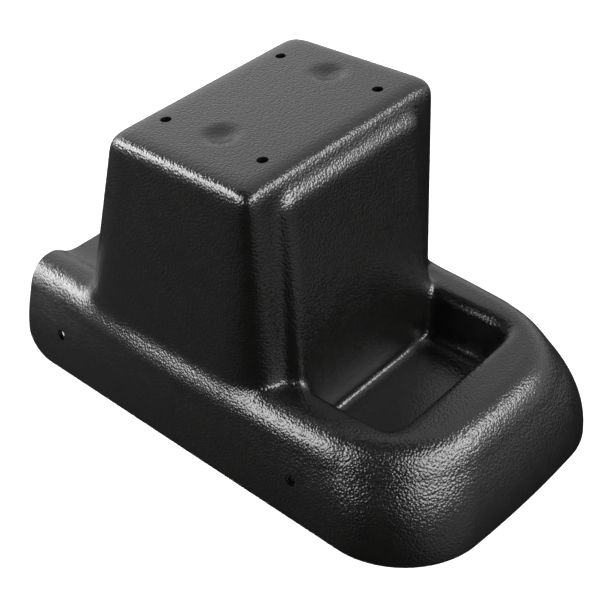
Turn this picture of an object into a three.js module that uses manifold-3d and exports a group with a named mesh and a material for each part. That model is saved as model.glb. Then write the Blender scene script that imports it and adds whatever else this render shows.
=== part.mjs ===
// A moulded mounting block: one thin thermoformed shell with a pedestal, a raised front
// panel, a tray pocket and a rolled rim, and the backing hardware under its top deck.
// Millimetres, +Z up. +X points to the rounded tray end, and the origin is on the floor
// below the middle of the block.
import * as THREE from 'three';
import { mergeVertices } from 'three/addons/utils/BufferGeometryUtils.js';
import Module from 'manifold-3d';

const wasm = await Module();
wasm.setup();

// Driving dimensions
const blockLength = 366;
const blockWidth = 207;
const blockHeight = 213;
const sheet = 4;
const touchGap = 0.3;

const rimHeight = 70.6; // crown of the rim above the floor
const skirtRadius = 160; // large radius that bulges the skirt
const shoulderRadius = 17.5;
const frontCornerRadius = 54;
const cornerSweep = 0.8; // the front corners grow rounder towards the shoulder
const frontBow = 7;
const rearCornerRadius = 22; // trimmed lower rear corners, seen from the side

const pedestalX = -9; // middle of the bolt pattern
const pedestalRear = -67;
const pedestalFront = 51;
const pedestalWidth = 165;
const rearSlope = 0.424;
const frontDraft = 0.005;
const sideDraft = 0.052;
const deckFillet = 9.5;
const pedestalCorner = 8.6;
const cornerGrowth = 0.133;

const panelTop = 199;
const panelProud = 4.5; // how far the raised panel stands out at its top
const panelDraft = 0.045;
const panelHalfWidth = 59;
const panelSpread = 0.05;
const panelFillet = 5;

const pocketFront = 127;
const pocketHalfWidth = 60;
const pocketFloor = 34;
const pocketDraft = 0.22;
const pocketRoll = 9;
const pocketCorner = 15;
const pocketFoot = 7;

const rearDeckHeight = 63;
const rearDeckHalfWidth = 56;

const boltSpacingX = 80;
const boltSpacingY = 100;
const boltHole = 7;
const dimpleRadius = 21; // radius of the shallow ball-shaped dimples
const dimpleDepth = 2;
const dimples = [[pedestalX, 50], [pedestalX, -43]];

const sideHole = 8;
const sideHoleHeight = 31;
const sideHoleRear = -144;
const sideHoleFront = 80;
const sideHoleReach = 30; // the drill stops this far inside the skirt, clear of the tray floor

const plateLength = 104;
const plateWidth = 130;
const plateThickness = 3;
const plateCorner = 10;
const dimpleClearance = 24;
const padThickness = 1.2;
const padLength = 92;
const padWidth = 22;
const padOffset = 17;
const nutAcrossFlats = 10;
const nutHeight = 5;
const nutBore = 5.4;

const cornerSteps = 6;
const bowSteps = 6;
const holeSides = 24;

// Solids and meshes
function toSolid(geometry) {
  const plain = geometry.index ? geometry.toNonIndexed() : geometry.clone();
  plain.deleteAttribute('normal');
  plain.deleteAttribute('uv');
  const merged = mergeVertices(plain, 1e-4);
  return new wasm.Manifold(new wasm.Mesh({
    numProp: 3,
    vertProperties: new Float32Array(merged.attributes.position.array),
    triVerts: new Uint32Array(merged.index.array),
  }));
}

function toGeometry(solid) {
  const mesh = solid.getMesh();
  const geometry = new THREE.BufferGeometry();
  geometry.setAttribute('position', new THREE.BufferAttribute(mesh.vertProperties, 3));
  geometry.setIndex(new THREE.BufferAttribute(mesh.triVerts, 1));
  geometry.computeVertexNormals();
  return geometry;
}

// A rounded rectangle in plan. bow pushes the +X side out in a shallow arc.
function ring({ x0, x1, half, rear, front, bow = 0 }) {
  const points = [];
  const corner = (cx, cy, radius, from) => {
    for (let i = 0; i <= cornerSteps; i += 1) {
      const a = from + (i / cornerSteps) * (Math.PI / 2);
      points.push([cx + radius * Math.cos(a), cy + radius * Math.sin(a)]);
    }
  };
  corner(x0 + rear, -half + rear, rear, Math.PI);
  corner(x1 - front, -half + front, front, -Math.PI / 2);
  if (bow > 0) {
    for (let i = 1; i < bowSteps; i += 1) {
      const y = (-half + front) * (1 - (2 * i) / bowSteps);
      points.push([x1, y]);
    }
  }
  corner(x1 - front, half - front, front, 0);
  corner(x0 + rear, half - rear, rear, Math.PI / 2);
  return points.map(([x, y]) => {
    const forward = Math.max(0, (x - x1 + front) / front);
    return [x + bow * forward * (1 - (y / half) ** 2), y];
  });
}

// A closed solid through rings of equal length, listed from the bottom up.
function loft(sections) {
  const rings = sections.map((s) => ring(s).map(([x, y]) => [x, y, s.z]));
  const count = rings[0].length;
  const vertices = rings.flat();
  const faces = [];
  for (let k = 0; k < rings.length - 1; k += 1) {
    for (let i = 0; i < count; i += 1) {
      const j = (i + 1) % count;
      const a = k * count;
      const b = a + count;
      faces.push(a + i, a + j, b + j, a + i, b + j, b + i);
    }
  }
  const cap = (start, flip) => {
    for (let i = 1; i < count - 1; i += 1) {
      faces.push(start, start + i + (flip ? 1 : 0), start + i + (flip ? 0 : 1));
    }
  };
  cap(0, true);
  cap((rings.length - 1) * count, false);
  return new wasm.Manifold(new wasm.Mesh({
    numProp: 3,
    vertProperties: new Float32Array(vertices.flat()),
    triVerts: new Uint32Array(faces),
  }));
}

function pin(x, y, z0, z1, diameter, sides = holeSides) {
  const geometry = new THREE.CylinderGeometry(diameter / 2, diameter / 2, z1 - z0, sides);
  geometry.rotateX(Math.PI / 2);
  geometry.translate(x, y, (z0 + z1) / 2);
  return toSolid(geometry);
}

// Heights and insets of a convex quarter arc, from its foot to its crown.
function arcSteps(radius, steps) {
  return Array.from({ length: steps + 1 }, (_, i) => {
    const a = (i / steps) * (Math.PI / 2);
    return { rise: radius * Math.sin(a), inset: radius * (1 - Math.cos(a)) };
  });
}

// Skirt and shoulder profile: height and inset from the floor outline. wall is 0 for the
// outside of the sheet and the sheet thickness for its inside.
function skirtProfile(wall) {
  const sine = (rimHeight - shoulderRadius) / (skirtRadius - shoulderRadius);
  const tangent = Math.asin(sine);
  const shoulderZ = (skirtRadius - shoulderRadius) * sine;
  const shoulderInset = skirtRadius - (skirtRadius - shoulderRadius) * Math.cos(tangent);
  const profile = [];
  for (let i = 0; i <= 5; i += 1) {
    const a = (i / 5) * tangent;
    const radius = skirtRadius - wall;
    profile.push({ z: radius * Math.sin(a), inset: skirtRadius - radius * Math.cos(a) });
  }
  for (let i = 1; i <= 6; i += 1) {
    const a = tangent + (i / 6) * (Math.PI / 2 - tangent);
    const radius = shoulderRadius - wall;
    profile.push({
      z: shoulderZ + radius * Math.sin(a),
      inset: shoulderInset - radius * Math.cos(a),
    });
  }
  return profile;
}

// The base runs past the rear end, where the trim cut takes it off.
function baseSolid(wall) {
  const sections = skirtProfile(wall).map(({ z, inset }) => ({
    z,
    x0: -blockLength / 2 - 40,
    x1: blockLength / 2 - frontBow - inset,
    half: blockWidth / 2 - inset,
    rear: 10,
    front: Math.min(frontCornerRadius + cornerSweep * inset, blockWidth / 2 - inset - 6),
    bow: frontBow,
  }));
  if (wall > 0) sections.unshift({ ...sections[0], z: -10 });
  return loft(sections);
}

function pedestalSection(z, wall, inset = 0) {
  const depth = blockHeight - z;
  const corner = Math.max(pedestalCorner + cornerGrowth * depth - wall - inset / 2, 3);
  return {
    z: z - wall,
    x0: pedestalRear - rearSlope * depth + wall + inset,
    x1: pedestalFront + frontDraft * depth - wall - inset,
    half: pedestalWidth / 2 + sideDraft * depth - wall - inset,
    rear: corner,
    front: corner,
  };
}

function pedestalSolid(wall) {
  const sections = [pedestalSection(wall > 0 ? 10 : 30, wall), pedestalSection(120, wall)];
  const fillet = deckFillet - wall;
  arcSteps(fillet, 4).forEach(({ rise, inset }) => {
    sections.push(pedestalSection(blockHeight - fillet + rise, wall, inset));
  });
  return loft(sections);
}

// The raised panel on the pedestal's front, which runs down to be the tray's back wall.
function panelSection(z, wall, inset = 0) {
  const depth = panelTop - z;
  return {
    z: z - wall,
    x0: pedestalRear + 30,
    x1: pedestalFront + panelProud + panelDraft * depth - wall - inset,
    half: panelHalfWidth + panelSpread * depth - wall - inset,
    rear: 4,
    front: panelFillet,
  };
}

function panelSolid(wall) {
  const sections = [panelSection(wall > 0 ? 10 : 30, wall), panelSection(110, wall)];
  arcSteps(panelProud, 3).forEach(({ rise, inset }) => {
    sections.push(panelSection(panelTop - panelProud + rise, wall, inset));
  });
  return loft(sections);
}

// Profile of an open hollow in the base: a filleted foot, a drafted wall and a rolled lip.
function hollowProfile(floor, foot, draft, roll, wall) {
  const narrowing = draft * (rimHeight - roll - floor - foot);
  const profile = [];
  for (let i = 0; i <= 3 && foot > 0; i += 1) {
    const a = (i / 3) * (Math.PI / 2);
    profile.push({
      z: floor + foot - (foot + wall) * Math.cos(a),
      spread: (foot + wall) * Math.sin(a) - foot - narrowing,
    });
  }
  for (let i = 0; i <= 4; i += 1) {
    const a = (i / 4) * (Math.PI / 2);
    profile.push({
      z: rimHeight - roll + (roll - wall) * Math.sin(a),
      spread: roll - (roll - wall) * Math.cos(a),
    });
  }
  const lip = profile[profile.length - 1];
  profile.push({ z: rimHeight + 3, spread: lip.spread });
  return profile;
}

function pocketSolid(wall) {
  return loft(hollowProfile(pocketFloor, pocketFoot, pocketDraft, pocketRoll, wall).map(
    ({ z, spread }) => ({
      z,
      x0: pedestalFront - 20,
      x1: pocketFront + spread,
      half: pocketHalfWidth + spread,
      rear: 4,
      front: Math.max(pocketCorner + spread, 4),
    }),
  ));
}

function rearDeckSolid(wall) {
  const roll = rimHeight - rearDeckHeight;
  return loft(hollowProfile(rearDeckHeight, 0, 0, roll, wall).map(({ z, spread }, i) => ({
    z: i === 0 ? z - wall : z,
    x0: -blockLength / 2 - 60,
    x1: pedestalRear,
    half: rearDeckHalfWidth + spread,
    rear: 3,
    front: 3,
  })));
}

// The trim outline seen from the side: everything behind it, and the lower rear corners,
// is cut away.
function trimSolid() {
  const rear = -blockLength / 2;
  const outline = new THREE.Shape();
  outline.moveTo(rear + rearCornerRadius, 0);
  outline.lineTo(blockLength, 0);
  outline.lineTo(blockLength, blockHeight + 10);
  outline.lineTo(rear, blockHeight + 10);
  outline.lineTo(rear, rearCornerRadius);
  outline.absarc(rear + rearCornerRadius, rearCornerRadius, rearCornerRadius,
    Math.PI, 1.5 * Math.PI, false);
  const geometry = new THREE.ExtrudeGeometry(outline, {
    depth: blockWidth + 20, bevelEnabled: false, curveSegments: 8,
  });
  geometry.translate(0, 0, -(blockWidth + 20) / 2);
  geometry.rotateX(Math.PI / 2);
  return toSolid(geometry);
}

function dimpleBall(x, y, wall) {
  const geometry = new THREE.SphereGeometry(dimpleRadius + wall, 40, 24);
  geometry.translate(x, y, blockHeight - dimpleDepth + dimpleRadius);
  return toSolid(geometry);
}

function envelope(wall) {
  let body = baseSolid(wall)
    .subtract(pocketSolid(wall))
    .subtract(rearDeckSolid(wall))
    .add(pedestalSolid(wall))
    .add(panelSolid(wall));
  dimples.forEach(([x, y]) => {
    body = body.subtract(dimpleBall(x, y, wall));
  });
  return body;
}

const boltPlaces = [-1, 1].flatMap((sx) => [-1, 1].map((sy) => [
  pedestalX + (sx * boltSpacingX) / 2, (sy * boltSpacingY) / 2,
]));

function shellSolid() {
  let shell = envelope(0).subtract(envelope(sheet)).intersect(trimSolid());
  boltPlaces.forEach(([x, y]) => {
    shell = shell.subtract(pin(x, y, blockHeight - 20, blockHeight + 5, boltHole));
  });
  [sideHoleRear, sideHoleFront].forEach((x) => [-1, 1].forEach((side) => {
    const drill = new THREE.CylinderGeometry(sideHole / 2, sideHole / 2, 2 * sideHoleReach,
      holeSides);
    drill.translate(x, (side * blockWidth) / 2, sideHoleHeight);
    shell = shell.subtract(toSolid(drill));
  }));
  return shell;
}

// Flat pieces under the top deck
function roundedPlate(x0, x1, y0, y1, radius, thickness, z) {
  const outline = new THREE.Shape();
  outline.moveTo(x0 + radius, y0);
  outline.absarc(x1 - radius, y0 + radius, radius, -Math.PI / 2, 0, false);
  outline.absarc(x1 - radius, y1 - radius, radius, 0, Math.PI / 2, false);
  outline.absarc(x0 + radius, y1 - radius, radius, Math.PI / 2, Math.PI, false);
  outline.absarc(x0 + radius, y0 + radius, radius, Math.PI, 1.5 * Math.PI, false);
  const geometry = new THREE.ExtrudeGeometry(outline, {
    depth: thickness, bevelEnabled: false, curveSegments: 6,
  });
  geometry.translate(0, 0, z);
  return toSolid(geometry);
}

const padTop = blockHeight - sheet - touchGap;
const plateTop = padTop - padThickness - touchGap;
const nutTop = plateTop - plateThickness - touchGap;

function plateSolid() {
  let plate = roundedPlate(pedestalX - plateLength / 2, pedestalX + plateLength / 2,
    -plateWidth / 2, plateWidth / 2, plateCorner, plateThickness, plateTop - plateThickness);
  boltPlaces.forEach(([x, y]) => {
    plate = plate.subtract(pin(x, y, plateTop - 10, plateTop + 5, boltHole));
  });
  dimples.forEach(([x, y]) => {
    plate = plate.subtract(pin(x, y, plateTop - 10, plateTop + 5, dimpleClearance, 32));
  });
  return plate;
}

function padSolid(side) {
  const y = side * padOffset;
  return roundedPlate(pedestalX - padLength / 2, pedestalX + padLength / 2,
    y - padWidth / 2, y + padWidth / 2, 2, padThickness, padTop - padThickness);
}

function nutSolid(x, y) {
  const acrossCorners = nutAcrossFlats / Math.cos(Math.PI / 6);
  return pin(x, y, nutTop - nutHeight, nutTop, acrossCorners, 6)
    .subtract(pin(x, y, nutTop - nutHeight - 2, nutTop + 2, nutBore));
}

// Materials and the assembly
const moulding = { color: 0x1c1c1b, roughness: 0.42, metalness: 0 };
const zincPlate = { color: 0x9a9c98, roughness: 0.45, metalness: 0.9 };
const zincNut = { color: 0xa9a79a, roughness: 0.4, metalness: 0.9 };
const foam = { color: 0x2b2c2e, roughness: 0.85, metalness: 0 };

function piece(name, solid, finish) {
  const mesh = new THREE.Mesh(toGeometry(solid), new THREE.MeshStandardMaterial(finish));
  mesh.name = name;
  return mesh;
}

const mountingBlock = new THREE.Group();
mountingBlock.add(piece('outer_shell', shellSolid(), moulding));
mountingBlock.add(piece('top_backing_plate', plateSolid(), zincPlate));
mountingBlock.add(piece('bonding_pad_right', padSolid(-1), foam));
mountingBlock.add(piece('bonding_pad_left', padSolid(1), foam));
boltPlaces.forEach(([x, y], i) => {
  mountingBlock.add(piece(`weld_nut_${i + 1}`, nutSolid(x, y), zincNut));
});

export default mountingBlock;
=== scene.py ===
import bpy, bmesh, math
from mathutils import Matrix, Vector


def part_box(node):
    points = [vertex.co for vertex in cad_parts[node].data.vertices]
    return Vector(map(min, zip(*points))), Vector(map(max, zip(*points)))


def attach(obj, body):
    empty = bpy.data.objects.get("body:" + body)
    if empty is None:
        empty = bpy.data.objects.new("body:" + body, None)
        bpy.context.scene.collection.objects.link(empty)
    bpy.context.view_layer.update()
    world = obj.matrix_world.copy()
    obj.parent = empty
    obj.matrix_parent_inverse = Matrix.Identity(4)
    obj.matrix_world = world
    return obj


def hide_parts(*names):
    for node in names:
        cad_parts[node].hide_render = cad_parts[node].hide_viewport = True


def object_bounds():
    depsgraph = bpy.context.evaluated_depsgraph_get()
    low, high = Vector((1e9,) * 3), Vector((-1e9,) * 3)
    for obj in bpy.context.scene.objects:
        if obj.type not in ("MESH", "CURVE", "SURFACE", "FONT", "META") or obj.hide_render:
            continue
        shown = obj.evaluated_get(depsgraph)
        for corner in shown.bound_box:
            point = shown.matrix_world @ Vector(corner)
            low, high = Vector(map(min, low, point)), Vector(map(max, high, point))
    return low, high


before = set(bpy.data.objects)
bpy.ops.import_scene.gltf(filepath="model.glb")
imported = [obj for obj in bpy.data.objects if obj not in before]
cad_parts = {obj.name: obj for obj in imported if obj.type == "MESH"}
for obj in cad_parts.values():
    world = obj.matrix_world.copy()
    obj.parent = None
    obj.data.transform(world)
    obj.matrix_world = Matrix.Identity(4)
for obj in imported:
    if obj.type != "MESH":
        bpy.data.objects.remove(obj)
cadLow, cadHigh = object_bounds()
mm = 0.001
cadLength, cadWidth, cadHeight = [round(v / mm, 3) for v in cadHigh - cadLow]
nutNodes = ["weld_nut_1", "weld_nut_2", "weld_nut_3", "weld_nut_4"]
nutBoxes = [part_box(node) for node in nutNodes]
boltMiddle = sum((low + high for low, high in nutBoxes), Vector()) / (2 * len(nutBoxes))
boltX = round(boltMiddle.x / mm, 3)
boltSpacing = (80.0, 100.0)  # mm along the block and across it
print("frame loaded")


class Wire:
    # an output socket of a node tree; sums on it add Math nodes
    def __init__(self, tree, socket=None):
        self.tree = tree
        self.socket = socket

    def node(self, kind, settings=None, inputs=None, output=0):
        made = self.tree.nodes.new(kind)
        for name, value in (settings or {}).items():
            if name == "group":
                made.node_tree = value
            else:
                setattr(made, name, value)
        for name, value in (inputs or {}).items():
            if isinstance(value, Wire):
                self.tree.links.new(value.socket, made.inputs[name])
            elif isinstance(value, list):  # several wires into one socket
                for wire in value:
                    self.tree.links.new(wire.socket, made.inputs[name])
            else:
                made.inputs[name].default_value = value
        return Wire(self.tree, made.outputs[output]) if len(made.outputs) else None

    def sum(self, operation, *values):
        return self.node("ShaderNodeMath", {"operation": operation}, dict(enumerate(values)))

    def vector(self, operation, *values, output=0):
        return self.node("ShaderNodeVectorMath", {"operation": operation},
                         dict(enumerate(values)), output)

    def __add__(self, other):
        return self.sum("ADD", self, other)

    def __radd__(self, other):
        return self.sum("ADD", other, self)

    def __sub__(self, other):
        return self.sum("SUBTRACT", self, other)

    def __rsub__(self, other):
        return self.sum("SUBTRACT", other, self)

    def __mul__(self, other):
        return self.sum("MULTIPLY", self, other)

    def __rmul__(self, other):
        return self.sum("MULTIPLY", other, self)

    def __truediv__(self, other):
        return self.sum("DIVIDE", self, other)

    def __rtruediv__(self, other):
        return self.sum("DIVIDE", other, self)

    def __neg__(self):
        return self.sum("MULTIPLY", self, -1.0)

    def __abs__(self):
        return self.sum("ABSOLUTE", self)

    def min(self, other):
        return self.sum("MINIMUM", self, other)

    def max(self, other):
        return self.sum("MAXIMUM", self, other)

    def root(self):
        return self.sum("SQRT", self)

    def blendMin(self, other, reach):
        return self.sum("SMOOTH_MIN", self, other, reach)

    def blendMax(self, other, reach):
        return self.sum("SMOOTH_MAX", self, other, reach)


# a smooth maximum this many radii wide cuts a corner like a round of that radius
filletReach = 1.76


def roundMax(a, b, radius):
    # where two surfaces meet, a convex edge of this radius
    u = (a + radius).max(0.0)
    v = (b + radius).max(0.0)
    return a.max(b).min(-1.0 * radius) + (u * u + v * v).root()


camera = {
    "place": Vector((0.4432, -0.4361, 0.5471)),  # metres
    "azimuth": 48.09,
    "elevation": 37.68,
    "roll": -6.59,
    "lens": 69.3,
    "shift": (0.0776, 0.0034),
}


def makeCamera():
    data = bpy.data.cameras.new("camera")
    data.lens = camera["lens"]
    data.sensor_width = 36.0
    data.shift_x, data.shift_y = camera["shift"]
    data.clip_start, data.clip_end = 0.05, 50.0
    made = bpy.data.objects.new("camera", data)
    bpy.context.collection.objects.link(made)
    turn = (Matrix.Rotation(math.radians(camera["azimuth"]), 4, "Z")
            @ Matrix.Rotation(math.radians(90.0 - camera["elevation"]), 4, "X")
            @ Matrix.Rotation(math.radians(camera["roll"]), 4, "Z"))
    made.matrix_world = Matrix.Translation(camera["place"]) @ turn
    bpy.context.scene.camera = made


makeCamera()
print("camera placed")


def newMaterial(name, settings):
    # settings are fixed numbers on the shader's own sockets
    material = bpy.data.materials.new(name)
    material.use_nodes = True
    tree = material.node_tree
    shader = tree.nodes["Principled BSDF"]
    for socket, value in settings.items():
        shader.inputs[socket].default_value = value
    return material, shader, Wire(tree)


def plug(wire, shader, socket):
    wire.tree.links.new(wire.socket, shader.inputs[socket])


shellFinish = {
    "darkColour": (0.0016, 0.0016, 0.0015, 1.0),
    "paleColour": (0.0030, 0.0030, 0.0028, 1.0),
    "roughness": 0.22,
    "roughnessSpread": 0.07,
    "grainSize": 1.6,  # mm across one pebble of the grain
    "grainDepth": 0.26,  # mm
    "grainLeftInTray": 0.5,  # the sheet is stretched most there, so its grain is faint
    "grainRounding": 0.35,
    "grainScatter": 0.9,
    "grainWobble": 1.1,  # mm that the pebbles are pushed about, so they don't line up
    "wobbleScale": 700.0,  # patterns per metre, as the next two
    "fineScale": 1500.0,
    "patchScale": 90.0,
    "fineShare": 0.10,  # of the grain's height
    "pebbleRoughness": 0.05,  # the valleys between pebbles are this much rougher
    "waveSize": 16.0,  # mm, the slow unevenness of a drawn sheet
    "waveDepth": 0.10,
    "waveStrength": 0.6,
}
trayEdge = {  # metres: where the faint grain ends, and the width over which it comes back
    "top": (0.045, 0.018),
    "rear": (0.063, 0.012),
    "front": (0.126, 0.006),
    "side": (0.060, 0.006),
}


def blackGrainedPlastic():
    look = shellFinish
    material, shader, tree = newMaterial("black_grained_plastic", {
        "IOR": 1.49,
        "Specular IOR Level": 0.5,
        "Metallic": 0.0,
    })
    place = tree.node("ShaderNodeTexCoord", output="Object")
    wobble = tree.node("ShaderNodeTexNoise", {}, {
        "Vector": place, "Scale": look["wobbleScale"], "Detail": 2.0, "Roughness": 0.5}, "Color")
    push = (look["grainWobble"] * mm,) * 3
    shifted = tree.vector("MULTIPLY_ADD", wobble, push, place)
    pebbles = tree.node("ShaderNodeTexVoronoi", {"feature": "SMOOTH_F1"}, {
        "Vector": shifted, "Scale": 1000.0 / look["grainSize"],
        "Smoothness": look["grainRounding"], "Randomness": look["grainScatter"]}, "Distance")
    fine = tree.node("ShaderNodeTexNoise", {}, {
        "Vector": place, "Scale": look["fineScale"], "Detail": 3.0, "Roughness": 0.6})
    patches = tree.node("ShaderNodeTexNoise", {}, {
        "Vector": place, "Scale": look["patchScale"], "Detail": 3.0, "Roughness": 0.55})
    wave = tree.node("ShaderNodeTexNoise", {}, {
        "Vector": place, "Scale": 1000.0 / look["waveSize"], "Detail": 1.0})
    domes = 1.0 - pebbles * (0.85 + 0.5 * patches)
    grain = domes + fine * look["fineShare"]
    swell = tree.node("ShaderNodeBump", {}, {
        "Height": wave, "Distance": look["waveDepth"] * mm,
        "Strength": look["waveStrength"]}, "Normal")
    parts = tree.node("ShaderNodeSeparateXYZ", {}, {0: place}).socket.node
    x, y, z = [Wire(tree.tree, parts.outputs[i]) for i in range(3)]
    outOfTray = (trayEdge["rear"][0] - x) / trayEdge["rear"][1]
    for edge, distance in {"top": z, "front": x, "side": abs(y)}.items():
        outOfTray = outOfTray.max((distance - trayEdge[edge][0]) / trayEdge[edge][1])
    drawn = outOfTray.min(1.0).max(look["grainLeftInTray"])
    bump = tree.node("ShaderNodeBump", {}, {
        "Height": grain * drawn, "Distance": look["grainDepth"] * mm, "Strength": 1.0,
        "Normal": swell}, "Normal")
    shade = tree.node("ShaderNodeMix", {"data_type": "RGBA"}, {
        0: patches, 6: look["darkColour"], 7: look["paleColour"]}, 2)
    gloss = look["roughness"] + (patches - 0.5) * look["roughnessSpread"]
    gloss = gloss + pebbles * look["pebbleRoughness"]
    plug(shade, shader, "Base Color")
    plug(gloss, shader, "Roughness")
    plug(bump, shader, "Normal")
    return material


zincFinish = {
    "paleColour": (0.60, 0.61, 0.60, 1.0),
    "darkColour": (0.42, 0.43, 0.43, 1.0),
    "roughness": 0.34,
    "spangle": 6.0,  # mm across one patch of the plating
    "rollDepth": 0.02,  # mm, fine lines left by the rolling mill
}
nutFinish = {
    "paleColour": (0.62, 0.58, 0.44, 1.0),
    "darkColour": (0.45, 0.42, 0.33, 1.0),
    "roughness": 0.30,
    "spangle": 2.5,
    "rollDepth": 0.01,
}
foamFinish = {
    "paleColour": (0.040, 0.040, 0.042, 1.0),
    "darkColour": (0.010, 0.010, 0.011, 1.0),
    "cell": 0.8,  # mm across one bubble
    "depth": 0.2,
}


def platedSteel(name, look):
    material, shader, tree = newMaterial(name, {"Metallic": 1.0, "IOR": 2.5})
    place = tree.node("ShaderNodeTexCoord", output="Object")
    patches = tree.node("ShaderNodeTexVoronoi", {"feature": "F1"}, {
        "Vector": place, "Scale": 1000.0 / look["spangle"]}, "Color")
    patches = tree.node("ShaderNodeSeparateColor", {}, {0: patches})
    cloud = tree.node("ShaderNodeTexNoise", {}, {"Vector": place, "Scale": 60.0, "Detail": 4.0})
    stretched = tree.vector("MULTIPLY", place, (60.0, 2500.0, 2500.0))
    lines = tree.node("ShaderNodeTexNoise", {}, {"Vector": stretched, "Scale": 1.0})
    shade = tree.node("ShaderNodeMix", {"data_type": "RGBA"}, {
        0: patches * 0.5 + cloud * 0.5, 6: look["darkColour"], 7: look["paleColour"]}, 2)
    plug(shade, shader, "Base Color")
    plug(look["roughness"] + cloud * 0.12 + patches * 0.06, shader, "Roughness")
    plug(tree.node("ShaderNodeBump", {}, {
        "Height": lines, "Distance": look["rollDepth"] * mm, "Strength": 0.7}, "Normal"),
        shader, "Normal")
    return material


def blackFoam():
    look = foamFinish
    material, shader, tree = newMaterial("closed_cell_foam", {
        "Roughness": 0.9, "Specular IOR Level": 0.25})
    place = tree.node("ShaderNodeTexCoord", output="Object")
    bubbles = tree.node("ShaderNodeTexVoronoi", {"feature": "F1"}, {
        "Vector": place, "Scale": 1000.0 / look["cell"]}, "Distance")
    shade = tree.node("ShaderNodeMix", {"data_type": "RGBA"}, {
        0: bubbles.min(1.0), 6: look["darkColour"], 7: look["paleColour"]}, 2)
    plug(shade, shader, "Base Color")
    plug(tree.node("ShaderNodeBump", {}, {
        "Height": bubbles, "Distance": look["depth"] * mm, "Strength": 0.8}, "Normal"),
        shader, "Normal")
    return material


shellMaterial = blackGrainedPlastic()
plateMaterial = platedSteel("zinc_plated_sheet", zincFinish)
nutMaterial = platedSteel("zinc_plated_nut", nutFinish)
foamMaterial = blackFoam()
print("materials made")


shellSizes = {  # millimetres, plain numbers for slopes
    "Block length": cadLength - 0.8,  # the skew below takes up the rest
    "Block width": cadWidth,
    "Block height": cadHeight,
    "Rim height": 70.6,
    "Skirt lean": 0.00193,  # inset per square millimetre of height, beside the pedestal
    "Skirt taper": 0.00234,  # added to it towards both ends
    "Inset stop": 12.6,  # this far below the rim the inset stops growing
    "Inset blend": 14.0,
    "Taper middle": -20.0,
    "Taper reach": 130.0,
    "Shoulder radius": 17.5,
    "Front corner": 54.0,
    "Corner sweep": 0.8,
    "Front bow": 7.0,
    "Front skew": 0.03,
    "Pedestal rear": -67.0,
    "Pedestal front": 51.0,
    "Pedestal width": 165.0,
    "Rear slope": 0.424,
    "Rear cosine": 0.92,  # of the rear wall's angle, so its distance is true
    "Front draft": 0.005,
    "Side draft": 0.052,
    "Deck fillet": 9.5,
    "Pedestal corner": 8.6,
    "Corner growth": 0.133,
    "Foot fillet": 5.5,
    "Panel top": 198.5,
    "Panel proud": 4.5,
    "Panel draft": 0.045,
    "Panel half width": 59.0,
    "Panel spread": 0.05,
    "Panel fillet": 6.5,
    "Panel foot": 6.5,
    "Panel corner": 8.0,
    "Tray front": 127.0,
    "Tray half width": 60.0,
    "Tray floor": 34.5,
    "Tray draft": 0.22,
    "Tray roll": 9.0,
    "Tray corner": 15.0,
    "Tray foot": 7.0,
    "Tray overlap": 20.0,  # how far the tray runs in under the pedestal wall
    "Rear deck": 63.0,
    "Rear deck half width": 56.0,
    "Rear deck blend": 16.0,
    "Rear deck gap": 10.0,  # the lowered deck ends this far behind the pedestal's top edge
    "Rear deck roll": 14.0,
    "Dimple radius": 17.0,
    "Dimple depth": 3.2,
    "Dimple blend": 4.0,
    "Dimple X": boltX,
    "Dimple left": 50.0,
    "Dimple right": -43.0,
}
shellBuild = {
    "cell": 2.4,  # mm
    "sheet": 4.0,
    "smoothAngle": 35.0,  # degrees
    "passes": 3,
    "nudge": 0.1,  # mm, for measuring the slope of the distance
    "leastSlope": 0.2,
    "longestMove": 2.0,
    "margin": 6.0,  # the sheet is made this much past its trimmed edges
    "rearCorner": 22.0,
    "boltHole": 7.0,
    "deckDrill": (190.0, 230.0),  # heights that the drill starts and ends at
    "sideDrill": (75.0, 130.0),  # distances from the middle, clear of the tray floor
    "sideHole": 8.0,
    "sideHoleHeight": 31.0,
    "sideHoles": (-144.0, 80.0),
}


def shellFieldGroup():
    # distance in mm from the outside of the sheet, negative within
    group = bpy.data.node_groups.new("shell field", "GeometryNodeTree")
    group.interface.new_socket("Position", in_out="INPUT", socket_type="NodeSocketVector")
    for name in shellSizes:
        group.interface.new_socket(name, in_out="INPUT", socket_type="NodeSocketFloat")
    group.interface.new_socket("Distance", in_out="OUTPUT", socket_type="NodeSocketFloat")
    tree = Wire(group)
    given = group.nodes.new("NodeGroupInput")
    size = {name: Wire(group, given.outputs[name]) for name in shellSizes}
    metres = Wire(group, given.outputs["Position"])
    millimetres = tree.vector("MULTIPLY", metres, (1000.0,) * 3)
    parts = tree.node("ShaderNodeSeparateXYZ", {}, {0: millimetres}).socket.node
    x, y, z = [Wire(group, parts.outputs[i]) for i in range(3)]
    across = abs(y)
    body = baseField(size, x, y, across, z)
    pedestal = pedestalField(size, x, across, z)
    panel = panelField(size, x, across, z)
    body = body.blendMin(pedestal, filletReach * size["Foot fillet"])
    body = body.blendMin(panel, filletReach * size["Panel foot"])
    for side in ("Dimple left", "Dimple right"):
        rise = z - size["Block height"] + size["Dimple depth"] - size["Dimple radius"]
        dx = x - size["Dimple X"]
        dy = y - size[side]
        ball = (dx * dx + dy * dy + rise * rise).root() - size["Dimple radius"]
        body = body.blendMax(-ball, size["Dimple blend"])
    result = group.nodes.new("NodeGroupOutput")
    group.links.new(body.socket, result.inputs["Distance"])
    return group


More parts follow.
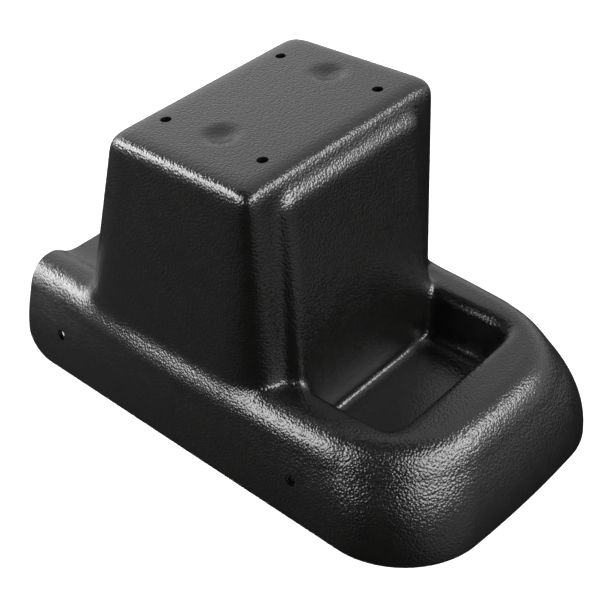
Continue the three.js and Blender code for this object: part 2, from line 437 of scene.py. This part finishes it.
def baseField(size, x, y, across, z):
    level = z.blendMin(size["Rim height"] - size["Inset stop"], size["Inset blend"])
    along = ((x - size["Taper middle"]) / size["Taper reach"]).max(-1.0).min(1.0)
    inset = level * level * (size["Skirt lean"] + size["Skirt taper"] * along * along)
    half = size["Block width"] / 2.0
    side = across - half + inset
    bow = size["Front bow"] * (across / half) * (across / half)
    front = x - size["Block length"] / 2.0 + bow + inset - size["Front skew"] * y
    plan = roundMax(side, front, size["Front corner"] + size["Corner sweep"] * inset)
    base = roundMax(plan, z - size["Rim height"], size["Shoulder radius"])
    narrowing = size["Tray draft"] * (size["Rim height"] - size["Tray roll"] - z).max(0.0)
    traySide = across - size["Tray half width"] + narrowing
    trayFront = x - size["Tray front"] + narrowing
    tray = traySide.blendMax(trayFront, filletReach * size["Tray corner"])
    tray = tray.blendMax(size["Tray floor"] - z, filletReach * size["Tray foot"])
    tray = tray.max(size["Pedestal front"] - size["Tray overlap"] - x)
    base = roundMax(base, -tray, size["Tray roll"])
    rearSide = across - size["Rear deck half width"]
    rear = rearSide.blendMax(size["Rear deck"] - z, size["Rear deck blend"])
    rear = rear.max(x - size["Pedestal rear"] + size["Rear deck gap"])
    return roundMax(base, -rear, size["Rear deck roll"])


def pedestalField(size, x, across, z):
    depth = size["Block height"] - z
    front = x - size["Pedestal front"] - size["Front draft"] * depth
    rear = (size["Pedestal rear"] - size["Rear slope"] * depth - x) * size["Rear cosine"]
    side = across - size["Pedestal width"] / 2.0 - size["Side draft"] * depth
    corner = size["Pedestal corner"] + size["Corner growth"] * depth.max(0.0)
    walls = front.max(rear).blendMax(side, filletReach * corner)
    return walls.blendMax(z - size["Block height"], filletReach * size["Deck fillet"])


def panelField(size, x, across, z):
    depth = size["Panel top"] - z
    face = x - size["Pedestal front"] - size["Panel proud"] - size["Panel draft"] * depth
    side = across - size["Panel half width"] - size["Panel spread"] * depth
    fillet = filletReach * size["Panel fillet"]
    outline = roundMax(side, z - size["Panel top"], size["Panel corner"])
    panel = face.blendMax(outline, fillet)
    return panel.max(-1.0 * x)


def shellTree():
    tree = bpy.data.node_groups.new("moulded shell", "GeometryNodeTree")
    tree.interface.new_socket("Geometry", in_out="INPUT", socket_type="NodeSocketGeometry")
    tree.interface.new_socket("Cell", in_out="INPUT", socket_type="NodeSocketFloat")
    tree.interface.new_socket("Margin", in_out="INPUT", socket_type="NodeSocketFloat")
    for name in shellSizes:
        tree.interface.new_socket(name, in_out="INPUT", socket_type="NodeSocketFloat")
    tree.interface.new_socket("Geometry", in_out="OUTPUT", socket_type="NodeSocketGeometry")
    given = tree.nodes.new("NodeGroupInput")
    size = {name: Wire(tree, given.outputs[name]) for name in shellSizes}
    start = Wire(tree)
    field = shellFieldGroup()

    def distanceAt(place):
        return start.node("GeometryNodeGroup", {"group": field}, {"Position": place, **size})

    margin = Wire(tree, given.outputs["Margin"])
    cell = Wire(tree, given.outputs["Cell"])
    reach = [size["Block length"] / 2.0, size["Block width"] / 2.0]
    lows = [-1.0 * (reach[0] + margin), -1.0 * (reach[1] + margin), -1.0 * margin]
    highs = [reach[0] + margin, reach[1] + margin, size["Block height"] + margin]
    counts = [(high - low) / cell for low, high in zip(lows, highs)]
    low = start.node("ShaderNodeCombineXYZ", {}, dict(enumerate(v * mm for v in lows)))
    high = start.node("ShaderNodeCombineXYZ", {}, dict(enumerate(v * mm for v in highs)))
    here = start.node("GeometryNodeInputPosition")
    volume = start.node("GeometryNodeVolumeCube", {}, {
        "Density": -1.0 * distanceAt(here), "Background": -10.0, "Min": low, "Max": high,
        "Resolution X": counts[0], "Resolution Y": counts[1], "Resolution Z": counts[2]})
    skin = start.node("GeometryNodeVolumeToMesh", {}, {
        "Volume": volume, "Threshold": 0.0, "Adaptivity": 0.0})
    step = shellBuild["nudge"]
    for _ in range(shellBuild["passes"]):  # slide every point onto the true surface
        middle = distanceAt(here)
        slopes = []
        for axis in range(3):
            nudge = [0.0, 0.0, 0.0]
            nudge[axis] = step * mm
            slopes.append((distanceAt(start.vector("ADD", here, tuple(nudge))) - middle) / step)
        steep = slopes[0] * slopes[0] + slopes[1] * slopes[1] + slopes[2] * slopes[2]
        steep = steep.max(shellBuild["leastSlope"])
        farthest = shellBuild["longestMove"]
        travel = (middle / steep).min(farthest).max(-farthest) * -mm
        slope = start.node("ShaderNodeCombineXYZ", {}, dict(enumerate(slopes)))
        offset = start.vector("SCALE", slope)
        tree.links.new(travel.socket, offset.socket.node.inputs["Scale"])
        skin = start.node("GeometryNodeSetPosition", {}, {"Geometry": skin, "Offset": offset})
    skin = start.node("GeometryNodeRealizeInstances", {}, {0: skin})
    skin = start.node("GeometryNodeSetMaterial", {}, {0: skin, "Material": shellMaterial})
    result = tree.nodes.new("NodeGroupOutput")
    tree.links.new(skin.socket, result.inputs["Geometry"])
    return tree


def bake(tree, values, name):
    # runs a node tree on an empty mesh and keeps its result as a plain mesh
    holder = bpy.data.objects.new(name + "_holder", bpy.data.meshes.new(name + "_holder"))
    bpy.context.collection.objects.link(holder)
    modifier = holder.modifiers.new("shape", "NODES")
    modifier.node_group = tree
    for item in tree.interface.items_tree:
        if item.in_out == "INPUT" and item.name in values:
            modifier[item.identifier] = values[item.name]
    graph = bpy.context.evaluated_depsgraph_get()
    mesh = bpy.data.meshes.new_from_object(holder.evaluated_get(graph), depsgraph=graph)
    holder.modifiers.clear()
    bpy.data.objects.remove(holder)
    mesh.name = name
    made = bpy.data.objects.new(name, mesh)
    bpy.context.collection.objects.link(made)
    return made


def applyModifiers(piece):
    graph = bpy.context.evaluated_depsgraph_get()
    mesh = bpy.data.meshes.new_from_object(piece.evaluated_get(graph), depsgraph=graph)
    piece.modifiers.clear()
    piece.data = mesh


def openSkin(piece):
    # cuts off the closing walls at the bottom and at the rear, so the skin is open there
    shape = bmesh.new()
    shape.from_mesh(piece.data)
    slack = 0.5 * shellBuild["margin"]
    rear = -shellSizes["Block length"] / 2.0 - slack
    for place, normal in (((0, 0, -slack * mm), (0, 0, 1)), ((rear * mm, 0, 0), (1, 0, 0))):
        bmesh.ops.bisect_plane(shape, geom=shape.verts[:] + shape.edges[:] + shape.faces[:],
                               plane_co=place, plane_no=normal, clear_inner=True)
    bmesh.ops.recalc_face_normals(shape, faces=shape.faces[:])
    shape.to_mesh(piece.data)
    shape.free()


def prism(name, outline, axis, low, high):
    # a closed prism: outline points are (u, v) across the axis, in mm
    shape = bmesh.new()
    rings = []
    for level in (low, high):
        place = {"Y": lambda u, v: (u, level, v), "Z": lambda u, v: (u, v, level)}[axis]
        rings.append([shape.verts.new(Vector(place(u, v)) * mm) for u, v in outline])
    for a, b in zip(range(len(outline)), list(range(1, len(outline))) + [0]):
        shape.faces.new((rings[0][a], rings[0][b], rings[1][b], rings[1][a]))
    shape.faces.new(rings[0])
    shape.faces.new(rings[1])
    bmesh.ops.recalc_face_normals(shape, faces=shape.faces[:])
    mesh = bpy.data.meshes.new(name)
    shape.to_mesh(mesh)
    shape.free()
    made = bpy.data.objects.new(name, mesh)
    bpy.context.collection.objects.link(made)
    return made


def circle(u, v, diameter, sides=40):
    turns = [2.0 * math.pi * i / sides for i in range(sides)]
    return [(u + diameter / 2 * math.cos(a), v + diameter / 2 * math.sin(a)) for a in turns]


def trimOutline():
    rear = -shellSizes["Block length"] / 2.0
    radius = shellBuild["rearCorner"]
    arc = [math.pi * (1.0 + 0.5 * i / 24) for i in range(25)]
    points = [(rear + radius + radius * math.cos(a), radius + radius * math.sin(a)) for a in arc]
    return points + [(400.0, 0.0), (400.0, 400.0), (rear, 400.0)]


def cut(piece, tools, operation):
    for tool in tools:
        modifier = piece.modifiers.new("cut", "BOOLEAN")
        modifier.operation = operation
        modifier.solver = "EXACT"
        modifier.object = tool
        applyModifiers(piece)
        bpy.data.objects.remove(tool)


def smoothByAngle(piece, degrees):
    shape = bmesh.new()
    shape.from_mesh(piece.data)
    limit = math.radians(degrees)
    for face in shape.faces:
        face.smooth = True
    for edge in shape.edges:
        edge.smooth = not edge.is_manifold or edge.calc_face_angle(0.0) < limit
    shape.to_mesh(piece.data)
    shape.free()


def makeShell():
    values = {"Cell": shellBuild["cell"], "Margin": shellBuild["margin"], **shellSizes}
    shell = bake(shellTree(), values, "moulded_shell")
    openSkin(shell)
    solidify = shell.modifiers.new("sheet", "SOLIDIFY")
    solidify.thickness = shellBuild["sheet"] * mm
    solidify.offset = -1.0
    solidify.use_even_offset = True
    applyModifiers(shell)
    print("sheet thickened", len(shell.data.polygons))
    cut(shell, [prism("trim", trimOutline(), "Y", -200.0, 200.0)], "INTERSECT")
    drills = []
    for sx in (-0.5, 0.5):
        for sy in (-0.5, 0.5):
            ring = circle(boltX + sx * boltSpacing[0], sy * boltSpacing[1],
                          shellBuild["boltHole"])
            drills.append(prism("drill", ring, "Z", *shellBuild["deckDrill"]))
    for x in shellBuild["sideHoles"]:
        ring = circle(x, shellBuild["sideHoleHeight"], shellBuild["sideHole"])
        near, far = shellBuild["sideDrill"]
        drills.append(prism("drill", ring, "Y", -far, -near))
        drills.append(prism("drill", ring, "Y", near, far))
    cut(shell, drills, "DIFFERENCE")
    smoothByAngle(shell, shellBuild["smoothAngle"])
    shell.data.materials.clear()
    shell.data.materials.append(shellMaterial)
    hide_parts("outer_shell")
    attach(shell, "root")
    print("shell made", len(shell.data.polygons))
    return shell


makeShell()

nutSizes = {  # millimetres
    "Across flats": 10.0,
    "Height": 5.0,
    "Bore": 5.4,
    "Chamfer": 0.45,  # how far the corners are turned down at each face
    "Spacing X": boltSpacing[0],
    "Spacing Y": boltSpacing[1],
}


nutSmoothAngle = 25.0  # degrees


def nutTree():
    # one chamfered hexagon nut, set on the four points of the bolt pattern
    tree = bpy.data.node_groups.new("weld nuts", "GeometryNodeTree")
    tree.interface.new_socket("Geometry", in_out="INPUT", socket_type="NodeSocketGeometry")
    tree.interface.new_socket("Middle", in_out="INPUT", socket_type="NodeSocketVector")
    for name in nutSizes:
        tree.interface.new_socket(name, in_out="INPUT", socket_type="NodeSocketFloat")
    tree.interface.new_socket("Geometry", in_out="OUTPUT", socket_type="NodeSocketGeometry")
    given = tree.nodes.new("NodeGroupInput")
    size = {name: Wire(tree, given.outputs[name]) * mm for name in nutSizes}
    start = Wire(tree)
    radius = size["Across flats"] / 2.0
    prism = start.node("GeometryNodeMeshCylinder", {}, {
        "Vertices": 6, "Radius": radius * (2.0 / math.sqrt(3.0)), "Depth": size["Height"]})
    tall = size["Height"] * 2.0
    face = radius - size["Chamfer"]
    bodies = [prism]
    for turn in (0.0, math.pi):  # a blunt cone over each face turns the corners down
        cone = start.node("GeometryNodeMeshCone", {}, {
            "Vertices": 48, "Radius Top": face, "Radius Bottom": face + tall * 1.732,
            "Depth": tall})
        lift = start.node("ShaderNodeCombineXYZ", {}, {2: size["Height"] / 2.0 - tall})
        cone = start.node("GeometryNodeTransform", {}, {"Geometry": cone, "Translation": lift})
        bodies.append(start.node("GeometryNodeTransform", {}, {
            "Geometry": cone, "Rotation": (turn, 0.0, 0.0)}))
    nut = start.node("GeometryNodeMeshBoolean", {"operation": "INTERSECT"}, {"Mesh 2": bodies})
    bore = start.node("GeometryNodeMeshCylinder", {}, {
        "Vertices": 32, "Radius": size["Bore"] / 2.0, "Depth": tall})
    nut = start.node("GeometryNodeMeshBoolean", {"operation": "DIFFERENCE"}, {
        "Mesh 1": nut, "Mesh 2": [bore]})
    places = start.node("GeometryNodeMeshGrid", {}, {
        "Size X": size["Spacing X"], "Size Y": size["Spacing Y"],
        "Vertices X": 2, "Vertices Y": 2})
    nuts = start.node("GeometryNodeInstanceOnPoints", {}, {"Points": places, "Instance": nut})
    nuts = start.node("GeometryNodeTransform", {}, {
        "Geometry": nuts, "Translation": Wire(tree, given.outputs["Middle"])})
    nuts = start.node("GeometryNodeRealizeInstances", {}, {0: nuts})
    nuts = start.node("GeometryNodeSetMaterial", {}, {0: nuts, "Material": nutMaterial})
    result = tree.nodes.new("NodeGroupOutput")
    tree.links.new(nuts.socket, result.inputs["Geometry"])
    return tree


def makeNuts():
    nuts = bake(nutTree(), {"Middle": boltMiddle, **nutSizes}, "weld_nuts")
    smoothByAngle(nuts, nutSmoothAngle)
    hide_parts(*nutNodes)
    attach(nuts, "root")
    print("weld nuts made", len(nuts.data.polygons))


def paintNode(node, material):
    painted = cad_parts[node]
    painted.data.materials.clear()
    painted.data.materials.append(material)


makeNuts()
paintNode("top_backing_plate", plateMaterial)
paintNode("bonding_pad_right", foamMaterial)
paintNode("bonding_pad_left", foamMaterial)
print("hardware painted")


studio = {
    "floorColour": (0.86, 0.86, 0.86, 1.0),
    "floorGap": 0.0005,  # metres below the block
    "floorHalf": 6.0,  # metres
    "frontGlow": 0.02,  # radiance of the room beside the camera
    "backGlow": 1.0,
    "rightGlow": 0.5,
    "leftGlow": 0.3,
    "leftGlowBelow": 0.1,
    # azimuth, elevation, and the cosines from which a glow starts and is full
    "above": (0, 90, -0.30, -0.05),
    "back": (-165, 18, -0.02, 0.38),
    "right": (93, 0, 0.55, 0.95),
    "left": (-58, -4, 0.55, 0.95),
    # azimuth, elevation, distance in metres, width and height in metres, radiance
    "right box": (84, 24, 1.7, (1.85, 0.66), 14.5),
    "right top box": (122, 31, 1.7, (0.75, 0.60), 13.0),
    "left box": (-42, 22, 1.7, (2.4, 0.80), 15.0),
    "back panel": (-112, 30, 2.2, (1.9, 1.5), 0.4),
}


def direction(azimuth, elevation):
    a, e = math.radians(azimuth), math.radians(elevation)
    return Vector((math.sin(a) * math.cos(e), -math.cos(a) * math.cos(e), math.sin(e)))


def makeFloor():
    half = studio["floorHalf"]
    mesh = bpy.data.meshes.new("floor")
    corners = [(-half, -half, 0), (half, -half, 0), (half, half, 0), (-half, half, 0)]
    mesh.from_pydata(corners, [], [(0, 1, 2, 3)])
    floor = bpy.data.objects.new("floor", mesh)
    bpy.context.collection.objects.link(floor)
    material = newMaterial("pale_floor", {
        "Base Color": studio["floorColour"], "Roughness": 0.9, "Specular IOR Level": 0.1})[0]
    mesh.materials.append(material)
    floor.location.z = cadLow.z - studio["floorGap"]
    floor.visible_glossy = False
    floor.visible_diffuse = False


def areaLight(name):
    azimuth, elevation, distance, size, radiance = studio[name]
    data = bpy.data.lights.new(name, "AREA")
    data.shape = "RECTANGLE"
    data.size, data.size_y = size
    data.energy = radiance * math.pi * size[0] * size[1]
    made = bpy.data.objects.new(name, data)
    bpy.context.collection.objects.link(made)
    away = direction(azimuth, elevation)
    made.location = (cadLow + cadHigh) / 2 + away * distance
    made.rotation_euler = (-away).to_track_quat("-Z", "Y").to_euler()


def makeWorld():
    # a dark room in front, a pale wall behind, some bounce on the right
    world = bpy.data.worlds.new("studio")
    bpy.context.scene.world = world
    world.use_nodes = True
    tree = Wire(world.node_tree)
    ray = tree.node("ShaderNodeTexCoord", output="Generated")

    def facing(azimuth, elevation, low, high):
        along = tree.vector("DOT_PRODUCT", ray, tuple(direction(azimuth, elevation)), output=1)
        return tree.node("ShaderNodeMapRange", {"interpolation_type": "SMOOTHSTEP"}, {
            "Value": along, "From Min": low, "From Max": high})

    above = facing(*studio["above"])
    leftGlow = above * studio["leftGlow"] + studio["leftGlowBelow"]
    glow = (studio["frontGlow"]
            + facing(*studio["back"]) * above * studio["backGlow"]
            + facing(*studio["right"]) * studio["rightGlow"]
            + facing(*studio["left"]) * leftGlow)
    background = world.node_tree.nodes["Background"]
    world.node_tree.links.new(glow.socket, background.inputs["Color"])
    background.inputs["Strength"].default_value = 1.0


def makeStudio():
    makeFloor()
    makeWorld()
    for name in ("right box", "right top box", "left box", "back panel"):
        areaLight(name)


makeStudio()
bpy.context.scene.view_settings.view_transform = "Standard"
print("studio lit")
